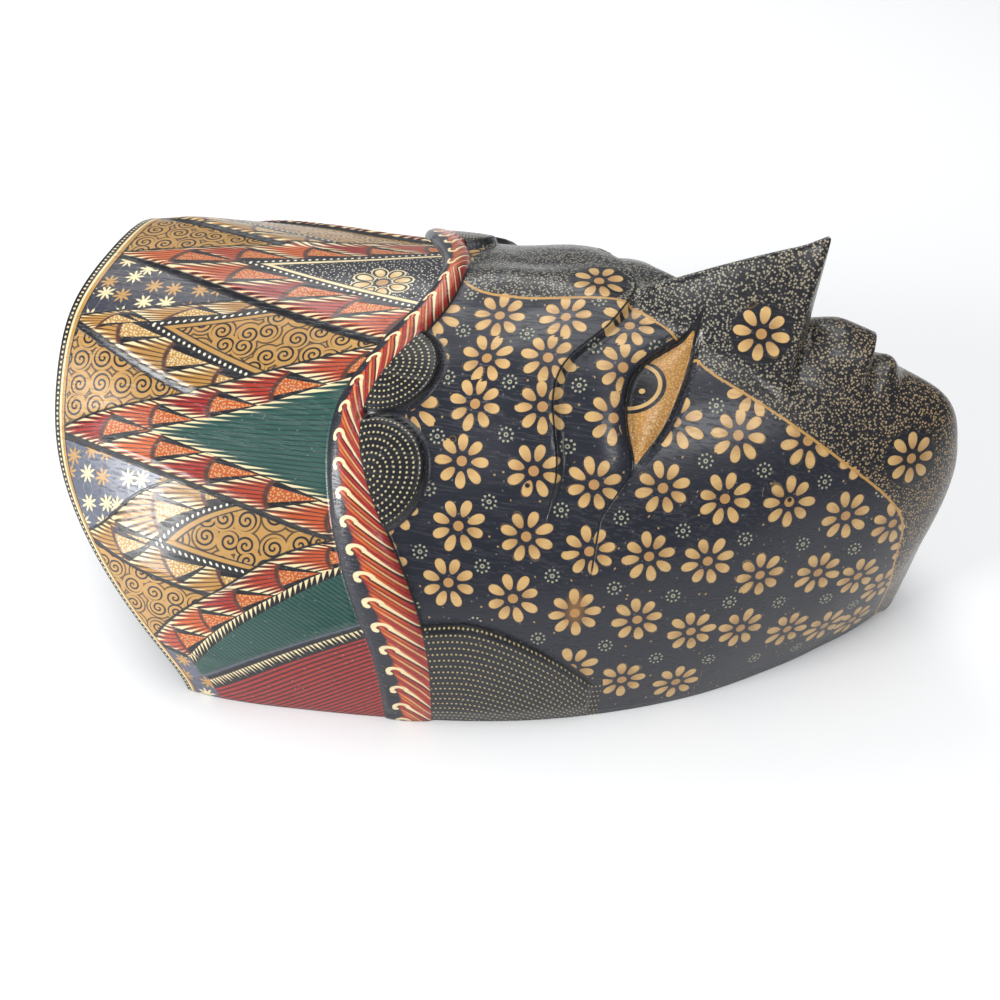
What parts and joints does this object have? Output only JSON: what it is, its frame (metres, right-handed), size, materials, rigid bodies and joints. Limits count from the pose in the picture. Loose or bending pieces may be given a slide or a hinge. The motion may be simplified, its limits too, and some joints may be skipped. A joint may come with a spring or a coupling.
{
  "type": "batik wooden mask",
  "caption": "Carved and hollowed wooden face mask with a pointed nose, narrow eyes and a wedge-patterned crown, painted in batik style",
  "frame": {"origin": "middle of the mask's footprint, in the plane of its flat back rim", "axes": "+X from the crown to the chin, Y across the face, +Z from the back rim out through the face"},
  "size_m": [0.2328, 0.1644, 0.1147],
  "materials": {
    "mask": "painted and lacquered, satin gloss"
  },
  "bodies": {
    "root": {"mask": "mask"}
  },
  "joints": []
}
